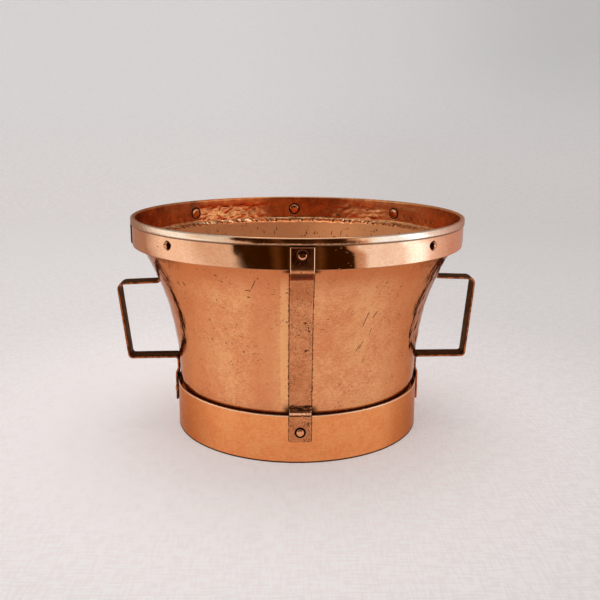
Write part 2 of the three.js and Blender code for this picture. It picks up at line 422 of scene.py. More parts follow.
def tint_outside(s, colour, outside):
    """Painted shade under the hoop and towards the sides, a painted dark reflection on the beaten right
    flank, and a lighter stripe beside the front strap.
    """
    wide = s.math("ABSOLUTE", s.x)
    front = s.fall(s.y, -20 * MM, 20 * MM)
    # Painted shade on the wall under the hoop
    shade_under_hoop = s.times(s.step(s.z, 190 * MM, 226 * MM), outside, 0.75)
    colour = s.mix(shade_under_hoop, colour, rgb(205, 114, 66))
    # Painted shade towards both sides
    shade = s.times(s.step(wide, 75 * MM, 130 * MM), outside, 0.6)
    colour = s.mix(shade, colour, rgb(214, 122, 74))
    # Painted dark reflection on the beaten right flank
    beaten = s.band(s.turn, math.radians(-28), math.radians(-4), math.radians(5))
    beaten = s.times(beaten, s.step(s.z, 90 * MM, 110 * MM), outside, 0.4)
    colour = s.mix(beaten, colour, rgb(168, 92, 58))
    dull = s.times(s.band(s.x, -54 * MM, -26 * MM, 9 * MM), outside, front)
    colour = s.mix(s.times(dull, 0.5), colour, rgb(222, 136, 88))
    stripe = s.band(s.x, -22 * MM, -14 * MM, 1.2 * MM)
    stripe = s.times(stripe, s.band(s.z, 75 * MM, 212 * MM, 12 * MM), outside, front)
    colour = s.mix(s.times(stripe, 0.6), colour, rgb(255, 190, 130))

    # Blotchy painted shade under the hoop at both sides
    blotched = s.uneven(s.z, 7 * MM, 34 * MM, 4)
    blotched_shade_under_hoop = s.times(s.step(blotched, 216 * MM, 224 * MM), s.step(wide, 120 * MM, 150 * MM), outside, 0.75)
    return s.mix(blotched_shade_under_hoop, colour, rgb(120, 64, 38))


def tint_inside(s, colour, inside, ledge):
    """A mottled red-brown collar, brighter where it is crumpled, over a tan flare and a pale ledge that is a
    painted highlight along the crease.
    """
    lit = s.times(inside, s.step(s.x, -20 * MM, 80 * MM), s.fall(s.z, 226 * MM, 230 * MM))
    collar = s.times(inside, s.step(s.z, HOOP_BOTTOM, HOOP_BOTTOM + 5 * MM))
    mottled = s.step(s.noise(13 * MM, 4, distortion=0.6), 0.4, 0.6)
    colour = s.mix(s.times(inside, 0.7), colour, rgb(226, 134, 82))
    colour = s.mix(lit, colour, rgb(255, 168, 110))
    colour = s.mix(s.times(collar, 0.85), colour, s.mix(mottled, rgb(250, 172, 112), rgb(196, 118, 76)))
    dim = s.times(collar, s.step(s.x, 60 * MM, 100 * MM, 0.5, 0.0))
    colour = s.mix(dim, colour, rgb(172, 106, 64))
    bright = s.times(collar, s.step(s.x, 90 * MM, 140 * MM, 0.0, 0.5))
    colour = s.mix(bright, colour, rgb(255, 190, 128))
    from_crumple = s.math("ABSOLUTE", s.math("SUBTRACT", s.turn, math.radians(118)))
    crumple = s.times(s.fall(from_crumple, math.radians(12), math.radians(18)), collar)
    colour = s.mix(s.times(crumple, 0.7), colour, s.mix(mottled, rgb(255, 166, 100), rgb(250, 140, 80)))
    # Painted highlight along the crease
    return s.mix(s.times(ledge, 0.9), colour, rgb(255, 206, 156))


def dirt_and_shade_outside(s, outside):
    """Grime and painted shade beside the straps, and painted shade in the corners under the hoop and along
    the foot ring.
    """
    jagged = s.uneven(s.math("ABSOLUTE", s.sideways(90)), 2.5 * MM, 3 * MM)
    on_wall = s.times(outside, s.step(s.radius, 125 * MM, 135 * MM))
    # Grime and painted shade along the straps' edges
    beside = s.fall(jagged, HALF_STRAP + 0.4 * MM, HALF_STRAP + 1.4 * MM)
    beside = s.times(beside, on_wall, s.fall(s.z, 231 * MM, 232 * MM))
    # Painted shade in the corners under the hoop beside the straps
    under_hoop = s.times(s.fall(jagged, 14 * MM, 22 * MM), s.band(s.z, 224 * MM, 231 * MM, 1.5 * MM), outside)
    # Painted shade beside the straps just above the foot ring
    above_foot = s.times(s.fall(jagged, 13 * MM, 22 * MM), s.fall(s.z, 62 * MM, 70 * MM), on_wall)
    # Painted shade along the top of the foot ring
    ragged = s.uneven(s.z, 3 * MM, 4 * MM)
    along_foot = s.times(s.fall(ragged, 57.8 * MM, 58.6 * MM), on_wall)
    return s.most(beside, under_hoop, above_foot, along_foot)


def dirt_inside(s, inside):
    """Ticks along the crease below the collar, small runs under them, and rings round the rivets' tails."""
    around = s.times(s.turn, 190 * MM)
    ticked = s.add("TexNoise", {"W": s.times(around, 1 / (4.2 * MM)), "Detail": 1.0, "Scale": 1.0},
                   noise_dimensions="1D")
    ticks = s.times(s.step(ticked, 0.53, 0.57), s.band(s.z, 227.8 * MM, 231.6 * MM, 0.6 * MM), inside)
    ticks = s.times(ticks, s.step(s.noise(9 * MM, 2), 0.4, 0.5))
    runs = s.times(s.pits(3 * MM, 0.64, s.stretched((1.2, 1.2, 0.35))), inside)
    runs = s.times(runs, s.fall(s.z, 222 * MM, 226 * MM))
    tail = s.band(s.from_rivet(45, RIM_RIVET_HEIGHT), 5.6 * MM, 8.3 * MM, 0.3 * MM)
    tail = s.times(tail, inside, s.step(s.z, 236 * MM, 237 * MM))
    return s.most(ticks, runs, tail)


def lip_colour(s):
    """The folded lip: pale polish, warmer at the front, with a dark lower edge."""
    polished = s.clouded(rgb(255, 236, 212), rgb(255, 220, 190), 30 * MM)
    at_front = s.times(s.fall(s.math("ABSOLUTE", s.x), 62 * MM, 78 * MM), s.fall(s.y, 0.0, 100 * MM))
    polished = s.mix(s.times(at_front, 0.85), polished, rgb(238, 172, 122))
    return s.mix(s.times(s.fall(s.z, 255.3 * MM, 256.1 * MM), 0.7), polished, rgb(120, 70, 44))


def hammered_copper():
    """The wall and bottom. The lip is polished like the hoop, and the inside is redder."""
    s = Shader("hammered_copper")
    outside = s.outward()
    inside = s.math("SUBTRACT", 1.0, outside)
    wide = s.math("ABSOLUTE", s.x)
    ledge = s.times(s.band(s.z, 229 * MM, 232 * MM, 0.4 * MM), inside)
    lip = s.step(s.radius, LIP_RADIUS - 2.6 * MM, LIP_RADIUS - 1.9 * MM)
    lip = s.times(lip, s.step(s.z, 252 * MM, 253 * MM))

    colour = s.clouded(rgb(246, 177, 122), rgb(230, 146, 97))
    colour = tint_outside(s, colour, outside)
    colour = tint_inside(s, colour, inside, ledge)
    pits = s.most(s.pits(2.2 * MM, 0.66), s.pits(3.0 * MM, 0.675, s.stretched((0.7, 1, 1.5))))
    pits = s.times(pits, 0.85, s.math("SUBTRACT", 1.0, lip))
    marks = s.times(s.most(*[s.dash(*mark) for mark in MARKS]), 0.85)
    # The dirt mask also carries the painted shade from outside
    dirt = s.most(dirt_and_shade_outside(s, outside), dirt_inside(s, inside), pits, marks)
    colour = s.mix(s.times(dirt, 0.9), colour, GRIME_AND_SHADE)
    colour = s.mix(s.times(lip, 0.95), colour, lip_colour(s))

    gloss = s.step(s.noise(20 * MM, 3), 0.3, 0.7, 0.14, 0.2)
    at_side = s.times(s.step(wide, 85 * MM, 125 * MM), outside)
    gloss = s.math("MULTIPLY_ADD", at_side, -0.06, gloss)
    gloss = s.math("MAXIMUM", gloss, s.times(inside, 0.27))
    gloss = s.math("MULTIPLY_ADD", s.most(lip, ledge), -0.07, gloss)
    gloss = s.math("MULTIPLY_ADD", dirt, 0.3, gloss)

    normal = s.bump(dirt, -0.25 * MM, 0.6)
    normal = s.bump(s.noise(1.4 * MM, 2, place=s.stretched((0.5, 0.5, 1))), 0.02 * MM, 0.6, normal)
    normal = s.bump(s.noise(3.0 * MM, 3), 0.1 * MM, 0.6, normal)
    puckered = s.noise(6 * MM, 3, place=s.stretched((1, 1, 0.6)))
    puckered = s.times(puckered, s.step(wide, 95 * MM, 130 * MM), outside)
    normal = s.bump(puckered, 0.35 * MM, 0.6, normal)
    return s.finish(Base_Color=colour, Metallic=1.0, Roughness=gloss, Normal=normal,
                    Specular_Tint=(0.68, 0.56, 0.5, 1.0))


def hoop_copper():
    """Near-polished sheet with painted shade under the lip, grime and painted shade beside the straps, and
    stains round the rivets.
    """
    s = Shader("hoop_copper")
    colour = s.clouded(rgb(252, 200, 162), rgb(240, 180, 140), 70 * MM)
    aside = s.math("ABSOLUTE", s.sideways(90))
    # Painted shade under the lip
    under_lip = s.times(s.band(s.z, 253.5 * MM, 256 * MM, 0.4 * MM), 0.8)
    ring = s.fall(s.from_rivet(45, RIM_RIVET_HEIGHT), 4.9 * MM, 5.9 * MM)
    # Grime and painted shade beside the straps
    beside = s.fall(aside, HALF_STRAP + 0.9 * MM, HALF_STRAP + 1.5 * MM)
    dents = s.pits(2.6 * MM, 0.7, s.stretched((0.45, 0.45, 1.4)))
    lower_edge = s.fall(s.z, 230 * MM, 230.5 * MM)
    colour = s.mix(s.times(lower_edge, 0.8), colour, rgb(200, 126, 84))
    dirt = s.most(under_lip, ring, beside, dents)
    colour = s.mix(s.times(dirt, 0.92), colour, GRIME_AND_SHADE)
    gloss = s.step(s.noise(12 * MM, 4), 0.35, 0.65, 0.03, 0.06)
    gloss = s.math("MULTIPLY_ADD", dirt, 0.35, gloss)
    normal = s.bump(dirt, -0.2 * MM, 0.5)
    return s.finish(Base_Color=colour, Metallic=1.0, Roughness=gloss, Normal=normal,
                    Specular_Tint=(0.95, 0.8, 0.72, 1.0))


def foot_copper():
    """Satin, more orange sheet with painted shade towards its ends, a burnished top edge that is partly a
    painted highlight, and a painted contact shadow.
    """
    s = Shader("foot_copper")
    colour = s.clouded(rgb(255, 172, 108), rgb(248, 152, 92), 30 * MM)
    # Painted shade towards the ends
    at_ends = s.step(s.math("ABSOLUTE", s.x), 85 * MM, 140 * MM)
    colour = s.mix(at_ends, colour, rgb(210, 120, 66))
    # Burnished top edge, partly a painted highlight
    worn = s.step(s.z, FOOT_TOP - 1.7 * MM, FOOT_TOP - 0.8 * MM)
    colour = s.mix(s.times(worn, 0.9), colour, rgb(255, 224, 188))
    # Grime and painted shade beside the straps
    jagged = s.uneven(s.math("ABSOLUTE", s.sideways(90)), 2.5 * MM, 2 * MM)
    beside = s.fall(jagged, HALF_STRAP + 0.3 * MM, HALF_STRAP + 1.2 * MM)
    beside = s.times(beside, s.step(s.z, 25 * MM, 27 * MM))
    # Painted contact shadow along the floor
    contact = s.fall(s.z, 1.5 * MM, 2.3 * MM)
    dirt = s.most(beside, contact, s.times(s.pits(2.2 * MM, 0.69), 0.6))
    colour = s.mix(s.times(dirt, 0.9), colour, GRIME_AND_SHADE)
    gloss = s.step(s.noise(16 * MM, 3), 0.3, 0.7, 0.24, 0.34)
    gloss = s.math("MULTIPLY_ADD", worn, -0.14, gloss)
    gloss = s.math("MULTIPLY_ADD", dirt, 0.3, gloss)
    normal = s.bump(dirt, -0.2 * MM, 0.5)
    normal = s.bump(s.noise(1.6 * MM, 2, place=s.stretched((0.3, 0.3, 1))), 0.015 * MM, 0.6, normal)
    return s.finish(Base_Color=colour, Metallic=1.0, Roughness=gloss, Normal=normal,
                    Specular_Tint=(0.8, 0.66, 0.56, 1.0))


def strap_copper():
    """Pitted, darker bar stock with worn edges partly painted as highlights, grime round the rivets, and
    painted shade above the foot ring.
    """
    s = Shader("strap_copper")
    colour = s.clouded(rgb(232, 158, 108), rgb(210, 132, 86), 24 * MM)
    on_hoop = s.step(s.z, 228 * MM, 231 * MM)
    colour = s.mix(s.times(on_hoop, 0.8), colour, rgb(178, 106, 66))
    aside = s.math("ABSOLUTE", s.x)
    duller = s.band(s.z, 190 * MM, 222 * MM, 6 * MM)
    duller = s.most(duller, s.step(s.z, 90 * MM, 120 * MM, 0.5, 0.0))
    colour = s.mix(s.times(duller, 0.5), colour, rgb(186, 106, 62))
    # Painted shade just below the bend under the hoop
    under_bend = s.times(s.band(s.z, 219 * MM, 226 * MM, 1.8 * MM), 0.8)
    colour = s.mix(under_bend, colour, rgb(104, 66, 26))
    # Worn edges, partly painted highlights
    worn = s.step(aside, HALF_STRAP - 1.2 * MM, HALF_STRAP - 0.5 * MM)
    worn = s.times(worn, s.step(s.z, 222 * MM, 230 * MM, 0.12, 1.0))
    # Painted highlight on the bend over the foot ring
    bright_bend = s.band(s.z, 58.8 * MM, 60.4 * MM, 0.6 * MM)
    colour = s.mix(s.most(worn, bright_bend), colour, rgb(255, 206, 166))
    fine = s.pits(1.2 * MM, 0.58)
    coarse = s.pits(3.4 * MM, 0.62)
    right_half = s.times(s.step(s.x, 1 * MM, 5 * MM, 0.1, 1.0), s.fall(s.x, 9 * MM, 11 * MM))
    coarse = s.times(coarse, right_half)
    ring = s.band(s.from_rivet(90, RIM_RIVET_HEIGHT), 3.6 * MM, 5.6 * MM, 0.3 * MM)
    low_ring = s.band(s.from_rivet(90, FOOT_RIVET_HEIGHT), 3.6 * MM, 6.2 * MM, 0.4 * MM)
    # Painted shade on the slope above the step over the foot ring
    streaky = s.step(s.noise(3 * MM, 3, place=s.stretched((0.35, 0.35, 1.3))), 0.42, 0.52)
    corner = s.times(s.band(s.z, 62.5 * MM, 69 * MM, 1 * MM), streaky)
    # Painted shade just below the step
    shade_under_step = s.times(s.band(s.z, 56.6 * MM, 57.8 * MM, 0.4 * MM), s.step(s.noise(5 * MM, 2), 0.4, 0.5))
    fine = s.times(fine, s.step(on_hoop, 0.0, 1.0, 0.8, 0.15))
    dirt = s.most(fine, coarse, ring, low_ring, corner, shade_under_step)
    colour = s.mix(s.times(dirt, 0.92), colour, GRIME_AND_SHADE)
    colour = s.mix(low_ring, colour, BLACK_GRIME)
    gloss = s.step(s.noise(9 * MM, 3), 0.3, 0.7, 0.15, 0.24)
    gloss = s.math("MULTIPLY_ADD", on_hoop, -0.06, gloss)
    gloss = s.math("MULTIPLY_ADD", dirt, 0.35, gloss)
    normal = s.bump(dirt, -0.3 * MM, 0.6)
    return s.finish(Base_Color=colour, Metallic=1.0, Roughness=gloss, Normal=normal)


def handle_copper():
    """The side straps: dull brown faces and edges rubbed back to orange."""
    s = Shader("handle_copper")
    colour = s.clouded(rgb(84, 54, 40), rgb(48, 30, 22), 14 * MM)
    aside = s.math("ABSOLUTE", s.y)
    beside_edge = s.band(aside, HALF_STRAP - 2.6 * MM, HALF_STRAP - 0.9 * MM, 0.4 * MM)
    colour = s.mix(beside_edge, colour, rgb(36, 22, 16))
    worn = s.step(aside, HALF_STRAP - 0.7 * MM, HALF_STRAP - 0.2 * MM)
    worn = s.times(worn, s.step(s.noise(6 * MM, 3), 0.35, 0.6, 0.2, 0.9))
    worn = s.times(worn, s.step(s.z, 205 * MM, 215 * MM, 1.0, 0.1))
    colour = s.mix(worn, colour, rgb(222, 132, 80))
    dirt = s.times(s.pits(2.0 * MM, 0.62), 0.8)
    colour = s.mix(dirt, colour, rgb(40, 24, 18))
    gloss = s.step(s.noise(9 * MM, 3), 0.3, 0.7, 0.42, 0.55)
    normal = s.bump(dirt, -0.25 * MM, 0.6)
    return s.finish(Base_Color=colour, Metallic=1.0, Roughness=gloss, Normal=normal,
                    Specular_Tint=(0.7, 0.55, 0.45, 1.0))


def rivet_copper():
    """Hammered heads with grime in the lows, and painted dark reflections above the heads on the straps and
    beside those on the hoop.
    """
    s = Shader("rivet_copper")
    colour = s.clouded(rgb(250, 182, 134), rgb(230, 150, 104), 6 * MM)
    dirt = s.step(s.noise(2.4 * MM, 3), 0.6, 0.68, 0.0, 0.8)
    on_strap = s.step(s.radius, STRAP_HIGH.y + 0.2 * MM, STRAP_HIGH.y + 0.4 * MM)
    # Painted dark reflection on the upper side of the heads on the straps
    upper = s.step(s.math("SUBTRACT", s.z, RIM_RIVET_HEIGHT), 0.6 * MM, 1.8 * MM)
    upper = s.times(upper, on_strap, s.step(s.from_rivet(90, RIM_RIVET_HEIGHT), 2.2 * MM, 3.2 * MM))
    # Painted dark reflection on the front side of the heads on the hoop
    turn = s.math("ABSOLUTE", s.math("ARCTAN2", s.x, s.times(s.y, -1.0)))
    from_middle = s.times(s.math("SUBTRACT", turn, math.radians(45)), HOOP_RADIUS)
    on_hoop = s.step(s.radius, HOOP_RADIUS + 0.2 * MM, HOOP_RADIUS + 0.5 * MM)
    beside = s.times(s.fall(from_middle, -2.6 * MM, -1.6 * MM), s.step(from_middle, -7 * MM, -6 * MM))
    beside = s.times(beside, on_hoop, s.step(s.from_rivet(45, RIM_RIVET_HEIGHT), 2.8 * MM, 3.4 * MM))
    dirt = s.most(dirt, upper, beside)
    colour = s.mix(dirt, colour, GRIME_AND_SHADE)
    gloss = s.step(s.noise(3 * MM, 2), 0.3, 0.7, 0.08, 0.16)
    normal = s.bump(s.noise(2.2 * MM, 2), 0.05 * MM, 0.5)
    return s.finish(Base_Color=colour, Metallic=1.0, Roughness=gloss, Normal=normal)


BODY = hammered_copper()
HOOP = hoop_copper()
FOOT = foot_copper()
STRAP = strap_copper()
HANDLE = handle_copper()
RIVET = rivet_copper()

# ---- The vessel's wall --------------------------------------------------------------------------


def squared(centre, radius, angle):
    """A point on a circle swollen towards its corners, so that a fold comes out flat-topped."""
    c, s = math.cos(math.radians(angle)), math.sin(math.radians(angle))
    reach = radius / (abs(c) ** 3.4 + abs(s) ** 3.4) ** (1 / 3.4)
    return Vector((centre[0] + reach * c, centre[1] + reach * s))


def wall_outline():
    """Outside up, over the folded lip, and down the inside."""
    flare_top = HOOP_BOTTOM - 0.5 * MM
    knee_top = HOOP_BOTTOM + 3.2 * MM
    fold_middle = (COLLAR_INNER + LIP_RADIUS) / 2
    fold_outer = (LIP_RADIUS - COLLAR_INNER) / 2
    fold_centre = (fold_middle, TOP - fold_outer)
    outer = evenly(along_corner(0, WALL_LOW.z + 0.3 * MM, WAIST_HEIGHT, 8)[:-1], 4 * MM)
    outer += along_flare(0, WAIST_HEIGHT, flare_top, 62)
    outer += [Vector((COLLAR_OUTER, knee_top)), Vector((COLLAR_OUTER, TOP - 8 * MM))]
    under = arc(fold_centre, fold_outer - SHEET, 180, 0, 5)
    edge = [(SHEET, 0.4), (SHEET / 2, 0.0), (0.35 * MM, 0.08), (0.08 * MM, 0.3), (0.0, 0.8)]
    edge = [Vector((LIP_RADIUS - inset, LIP_BOTTOM + rise * MM)) for inset, rise in edge]
    over = [squared(fold_centre, fold_outer, i * 15) for i in range(13)]
    collar = evenly([over[-1], Vector((COLLAR_INNER, knee_top + 1 * MM))], 1.6 * MM)
    flare_inner = list(reversed(along_flare(-SHEET, WAIST_HEIGHT, flare_top - 1 * MM, 34)))
    knee = Vector((COLLAR_INNER - 0.7 * MM, knee_top - 0.7 * MM))
    ledge = evenly([collar[-1], knee, flare_inner[0]], 1.6 * MM)
    corner = evenly(along_corner(-SHEET, WALL_LOW.z + 0.3 * MM, WAIST_HEIGHT, 8), 5 * MM)
    corner.reverse()
    return outer + under + edge + over + collar[1:] + ledge[1:-1] + flare_inner + corner[1:]


def hammer_body(verts, height, azimuth):
    """Broad waves and shallow marks all round, beaten dents at the right side, a fuller left side."""
    from_front = np.abs(azimuth)
    on_body = 1 - between(height, HOOP_BOTTOM - 8 * MM, HOOP_BOTTOM)
    on_body *= between(height, FOOT_TOP - 8 * MM, FOOT_TOP + 8 * MM)
    waves = smooth_noise(verts, 55 * MM, 1) * 0.45 * MM + smooth_noise(verts, 22 * MM, 2) * 0.16 * MM
    waves += smooth_noise(verts, 8 * MM, 3) * 0.03 * MM - dimples(verts, 15 * MM, 3) * 0.08 * MM
    at_sides = between(from_front, 45, 72) * (1 - between(from_front, 120, 135))
    puckers = smooth_noise(verts, 16 * MM, 11) * 0.3 * MM + smooth_noise(verts, 7 * MM, 12) * 0.22 * MM
    waves += at_sides * puckers
    beaten_right = between(azimuth, 50, 66) * (1 - between(azimuth, 80, 87))
    beaten_right *= between(height, 95 * MM, 120 * MM)
    dents = smooth_noise(verts, 19 * MM, 13) * 1.4 * MM + smooth_noise(verts, 8 * MM, 14) * 0.5 * MM
    waves += beaten_right * dents
    fuller_left = between(-azimuth, 50, 85) * (1 - between(-azimuth, 110, 150))
    fuller_left *= between(height, 85 * MM, 130 * MM)
    push_radially(verts, on_body * (waves + fuller_left * 0.9 * MM))


def crumple_collar(verts, height, azimuth, inner):
    """Dents round the inside of the collar, and two stretches of folds at the back."""
    on_collar = inner * between(height, HOOP_BOTTOM - 3 * MM, HOOP_BOTTOM + 5 * MM)
    on_collar = on_collar * (1 - between(height, TOP - 13 * MM, TOP - 6 * MM))
    crumpled = 1 - between(np.abs(azimuth + 152), 11, 19)
    crumpled = crumpled + 0.5 * (1 - between(np.abs(azimuth - 153), 8, 18))
    flattened = verts * (1, 1, 2.2)
    dents = smooth_noise(verts, 20 * MM, 4) * 0.5 * MM + smooth_noise(verts, 7 * MM, 5) * 0.12 * MM
    folds = -np.abs(smooth_noise(flattened, 13 * MM, 6)) * 1.8 * MM + 0.6 * MM
    folds += smooth_noise(flattened, 7 * MM, 7) * 0.8 * MM
    lean = crumpled * (1 - between(height, HOOP_BOTTOM + 5 * MM, HOOP_BOTTOM + 21 * MM)) * -2.0 * MM
    push_radially(verts, on_collar * (dents + crumpled * folds + lean))


def roughen_ledge(verts, height, inner):
    """The crease between collar and flare rises and dips."""
    on_ledge = inner * between(height, HOOP_BOTTOM - 3 * MM, HOOP_BOTTOM)
    on_ledge = on_ledge * (1 - between(height, HOOP_BOTTOM + 3 * MM, HOOP_BOTTOM + 5 * MM))
    verts[:, 2] += on_ledge * smooth_noise(verts, 6 * MM, 8) * 0.9 * MM


def make_wall():
    verts, faces = turned(wall_outline(), 576)
    inner = np.hypot(verts[:, 0], verts[:, 1]) < COLLAR_INNER + SHEET / 2
    height = verts[:, 2]
    azimuth = np.degrees(np.arctan2(verts[:, 0], -verts[:, 1]))  # from the front, positive to the right
    hammer_body(verts, height, azimuth)
    crumple_collar(verts, height, azimuth, inner)
    roughen_ledge(verts, height, inner)
    make_piece("hammered_wall", verts, faces, BODY, ["vessel_wall"], 50)


def make_bottom():
    outside = -(SHEET + FIT)
    inside = outside - SHEET
    top = WALL_LOW.z + LAP
    floor = WAIST_HEIGHT - CORNER_RADIUS
    reach = WAIST_RADIUS - CORNER_RADIUS
    edge = 0.02 * MM
    under = evenly([Vector((edge, floor - outside)), Vector((reach, floor - outside))], 4 * MM)
    over = evenly([Vector((edge, floor - inside)), Vector((reach, floor - inside))], 4 * MM)
    outline = under[:-1] + along_corner(outside, 0, top, 24)
    outline += along_corner(inside, top, 0, 24) + over[-2::-1]
    verts, faces = turned(outline, 256)
    radius = np.hypot(verts[:, 0], verts[:, 1])
    push = smooth_noise(verts, 40 * MM, 6) * 0.4 * MM - dimples(verts, 16 * MM, 7) * 0.25 * MM
    verts[:, 2] += push * (1 - between(radius, reach, reach + 45 * MM))
    make_piece("dished_bottom", verts, faces, BODY, ["vessel_bottom"], 50)


# ---- Hoop and foot ring -------------------------------------------------------------------------


def band_outline(inner, outer, low, high, bevel, spacing):
    """A flat band's cross-section with rounded edges."""
    corners = [Vector(c) for c in ((inner, low), (outer, low), (outer, high), (inner, high))]
    line = []
    for i, corner in enumerate(corners):
        before, after = corners[i - 1], corners[(i + 1) % 4]
        bend = rounded(before, corner, after, bevel, 4)
        line += [bend[0] + (before - corner).normalized() * bevel / 2] + bend
        line.append(bend[-1] + (after - corner).normalized() * bevel / 2)
    return evenly(line + [line[0]], spacing)[:-1]


def make_hoop():
    inner = HOOP_RADIUS - HOOP_THICKNESS
    outline = band_outline(inner, HOOP_RADIUS, HOOP_BOTTOM, HOOP_HIGH.z, 0.35 * MM, 2.5 * MM)
    verts, faces = turned(outline, 600)
    sway = smooth_noise(verts * (1, 1, 0.8), 42 * MM, 8) * 0.26 * MM
    push_radially(verts, sway + smooth_noise(verts, 18 * MM, 9) * 0.06 * MM)
    make_piece("rim_band", verts, faces, HOOP, ["rim_hoop"])


def make_foot():
    outline = band_outline(FOOT_RADIUS - FOOT_THICKNESS, FOOT_RADIUS, 0, FOOT_TOP, 0.6 * MM, 2.5 * MM)
    verts, faces = turned(outline, 512)
    sway = smooth_noise(verts, 40 * MM, 9) * 0.2 * MM
    push_radially(verts, sway + smooth_noise(verts, 14 * MM, 10) * 0.04 * MM)
    make_piece("foot_band", verts, faces, FOOT, ["foot_ring"])


# ---- Straps -------------------------------------------------------------------------------------

STRAP_OFFSET = FIT + STRAP_THICKNESS / 2
STRAP_MEETS_FLARE = 217.5 * MM
STRAP_LEAVES_WALL = 68 * MM
STRAP_STEP = 61 * MM
STEP_BEND = 3 * MM


def strap_top():
    """Down the hoop and in under its lower edge."""
    return [
        Vector((STRAP_ON_HOOP, STRAP_HIGH.z)),
        (Vector((STRAP_ON_HOOP, HOOP_BOTTOM - 1.5 * MM)), STEP_BEND),
    ]


def strap_foot():
    """Off the wall below the waist and out over the foot ring."""
    return [
        along_corner(STRAP_OFFSET, STRAP_LEAVES_WALL, WAIST_HEIGHT, 1)[0],
        (Vector((STRAP_ON_FOOT, STRAP_STEP)), STEP_BEND),
        Vector((STRAP_ON_FOOT, STRAP_LOW.z)),
    ]


def plain_strap_line():
    flare = along_flare(STRAP_OFFSET, STRAP_MEETS_FLARE, WAIST_HEIGHT, 24)
    return bent_line(strap_top() + flare + strap_foot())


# Corners of the handles' centre lines, in millimetres: distance from the axis where it isn't the
# wall's own, height, and bend radius.
HANDLES = {
    "right": [(None, 184.1, 4), (220.9, 182.7, 6.5), (212.2, 82.8, 4.5), (None, 82.4, 3.5)],
    "left": [(None, 178.5, 4), (222.2, 176.3, 7.5), (211.2, 81.4, 4.5), (None, 82.2, 3.5)],
}


def handle_strap_line(corners):
    leaves = corners[0][1] + 2 * corners[0][2]
    entries = strap_top() + along_flare(STRAP_OFFSET, STRAP_MEETS_FLARE, leaves * MM, 6)
    for radius, height, bend in corners:
        if radius is None:
            corner = along_flare(STRAP_OFFSET, height * MM, WAIST_HEIGHT, 1)[0]
        else:
            corner = Vector((radius * MM, height * MM))
        entries.append((corner, bend * MM))
    return bent_line(entries + strap_foot())


def make_strap(side, line, material, node):
    """A flat bar with worn, rounded edges, swept along its centre line."""
    line = evenly(line, 2.2 * MM)
    near_ends = (0.12, 0.4, 0.8)
    line = ([line[0]] + [line[0].lerp(line[1], t) for t in near_ends] + line[1:-1]
            + [line[-1].lerp(line[-2], t) for t in reversed(near_ends)] + [line[-1]])
    left, right = thickened(line, STRAP_THICKNESS)

    # One face of the cross-section: how far across each point is, and how far it drops at the edges
    edge = [(0, 1.0 * MM), (0.15 * MM, 0.45 * MM), (0.6 * MM, 0.1 * MM), (1.3 * MM, 0)]
    face = [(step - HALF_STRAP, drop) for step, drop in edge]
    face += [(HALF_STRAP * (i / 4 - 1), 0) for i in range(1, 8)]
    face += [(HALF_STRAP - step, drop) for step, drop in reversed(edge)]
    ring = [(y, 0, drop) for y, drop in face] + [(y, 1, drop) for y, drop in reversed(face)]

    verts = []
    run = np.cumsum([0] + [(q - p).length for p, q in zip(line, line[1:])])
    for (a, b), gone in zip(zip(left, right), run):
        to_end = min(gone, run[-1] - gone)
        round_end = 0.9 * MM * max(0, 1 - to_end / (1.2 * MM)) ** 2
        inward = (b - a).normalized()
        for y, which, drop in ring:
            drop = min(max(drop, round_end), STRAP_THICKNESS * 0.4)
            p = a + inward * drop if which == 0 else b - inward * drop
            verts.append((p.x, y, p.y))
    columns = len(ring)
    faces = grid_faces(len(line), columns, False, True)
    faces.append(tuple(range(columns)))
    faces.append(tuple(range((len(line) - 1) * columns, len(line) * columns))[::-1])
    verts = np.array(verts)
    turn = np.array(Matrix.Rotation(math.radians(SIDES[side]), 3, "Z"))
    verts = verts @ turn.T
    lumps = np.stack([smooth_noise(verts, 14 * MM, 10 + k) for k in range(3)], -1) * 0.12 * MM
    lumps *= 1 - 0.6 * between(verts[:, 2:], HOOP_BOTTOM - 6 * MM, HOOP_BOTTOM)
    make_piece(f"{side}_strap_bar", verts + lumps, faces, material, [node], 40)


# ---- Rivets -------------------------------------------------------------------------------------


def make_rivet(name, side, height, inner, outer, strapped, node):
    """A domed head outside, a shank, and a flat peened tail inside, turned along the radius."""
    head = (4.3 if strapped else 4.4) * MM
    dome = (1.5 if strapped else 3.2) * MM
    flatness = 0.55 if strapped else 1.0
    shank = 2.6 * MM
    tail = 6.1 * MM
    seat = inner - FIT - 0.1 * MM
    under = outer + FIT
    outline = [(0.05 * MM, seat - 1.2 * MM), (tail - 2.2 * MM, seat - 1.1 * MM)]
    outline += [(tail - 0.8 * MM, seat - 0.9 * MM), (tail, seat - 0.4 * MM), (tail, seat), (shank, seat)]
    outline += [(shank, under), (head, under), (head, under + 0.3 * MM)]
    for angle in map(math.radians, range(6, 90, 7)):
        outline.append((head * math.cos(angle) ** flatness, under + 0.3 * MM + dome * math.sin(angle)))
    outline += [(0.05 * MM, under + 0.3 * MM + dome), (0.05 * MM, seat)]
    verts, faces = turned(outline, 40)
    verts = np.stack([verts[:, 2], verts[:, 0], verts[:, 1]], -1)
    verts[:, 2] += height
    turn = np.array(Matrix.Rotation(math.radians(SIDES[side]), 3, "Z"))
    verts = verts @ turn.T
    lumps = np.stack([smooth_noise(verts, 3.5 * MM, 20 + k) for k in range(3)], -1) * 0.25 * MM
    make_piece(name, verts + lumps, faces, RIVET, [node], 45)


